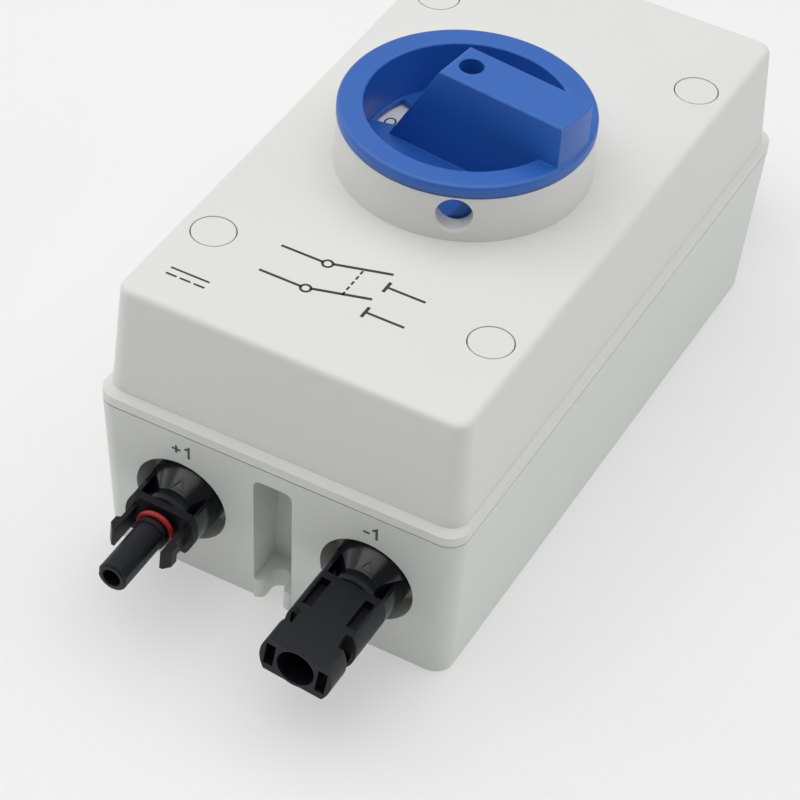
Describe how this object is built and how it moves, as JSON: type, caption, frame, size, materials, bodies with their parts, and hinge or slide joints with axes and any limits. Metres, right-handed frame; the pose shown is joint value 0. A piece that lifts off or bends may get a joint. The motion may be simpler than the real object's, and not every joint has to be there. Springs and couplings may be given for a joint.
{
  "type": "rotary isolator switch",
  "caption": "Rotary DC isolator in a wall-mounted grey two-part enclosure, with a blue ring handle that turns a quarter and plug-in cable connectors on both ends.",
  "frame": {"origin": "middle of the flat back face that lies against the wall", "axes": "+X across the width, +Y along the length, +Z out of the wall along the handle's axis; the front end with the connectors in view faces -Y"},
  "size_m": [0.094, 0.235, 0.1023],
  "materials": {
    "base_plastic": "fine-textured light grey moulding",
    "lid_plastic": "fine-textured pale grey moulding",
    "dial_white": "smooth off-white moulding",
    "handle_plastic": "satin blue moulding",
    "dark_moulding": "dark grey glass-filled moulding",
    "black_moulding": "black glass-filled moulding",
    "connector_plastic": "satin black moulding",
    "steel": "zinc-plated",
    "zinc": "die cast",
    "copper": "silver-faced copper strip",
    "brass": "machined",
    "black_rubber": "moulded seal",
    "red_rubber": "moulded seal",
    "red_cable": "cable sheath",
    "black_cable": "cable sheath"
  },
  "bodies": {
    "housing_body": {"base_housing": "base_plastic", "lid_housing": "lid_plastic", "screw_caps": "lid_plastic", "dial_plate": "dial_white", "mechanism_case": "dark_moulding", "contact_deck_1": "dark_moulding", "contact_deck_2": "dark_moulding", "contact_deck_3": "dark_moulding", "contact_deck_4": "dark_moulding", "mechanism_cover": "black_moulding", "front_plus_connector": "connector_plastic", "rear_plus_connector": "connector_plastic", "front_minus_connector": "connector_plastic", "rear_minus_connector": "connector_plastic", "connector_nuts": "connector_plastic", "lid_screws": "steel", "switch_plate_screws": "steel", "terminal_screws": "steel", "tie_bolts": "steel", "wire_ferrules": "steel", "switch_plate": "zinc", "front_fixed_contact_1": "copper", "front_fixed_contact_2": "copper", "front_fixed_contact_3": "copper", "front_fixed_contact_4": "copper", "rear_fixed_contact_1": "copper", "rear_fixed_contact_2": "copper", "rear_fixed_contact_3": "copper", "rear_fixed_contact_4": "copper", "plus_series_link": "copper", "minus_series_link": "copper", "terminal_blocks": "brass", "socket_contacts": "brass", "pin_contacts": "brass", "lid_gasket": "black_rubber", "connector_seals": "black_rubber", "mating_seal_rings": "red_rubber", "front_plus_lead": "red_cable", "rear_plus_lead": "red_cable", "front_minus_lead": "black_cable", "rear_minus_lead": "black_cable"},
    "handle_body": {"handle": "handle_plastic", "handle_screw": "steel", "handle_washer": "steel", "handle_seal_ring": "black_rubber", "drive_shaft": "zinc", "drive_cam": "dark_moulding", "snap_spring": "steel"},
    "rotor_body": {"snap_rotor": "black_moulding", "rotor_spindle": "zinc", "rotor_segment_1": "black_moulding", "rotor_segment_2": "black_moulding", "rotor_segment_3": "black_moulding", "rotor_segment_4": "black_moulding", "moving_contact_1": "copper", "moving_contact_2": "copper", "moving_contact_3": "copper", "moving_contact_4": "copper"}
  },
  "joints": [
    {"name": "handle_turn", "type": "hinge", "parent": "housing_body", "child": "handle_body", "pos_m": [0, 0, 0.08], "axis": [0, 0, -1], "range_deg": [-7, 83]},
    {"name": "rotor_turn", "type": "hinge", "parent": "housing_body", "child": "rotor_body", "pos_m": [0, 0, 0.03], "axis": [0, 0, -1], "range_deg": [-7, 83]}
  ],
  "couplings": [
    {"joint": "rotor_turn", "follows": "handle_turn", "ratio": 1}
  ]
}
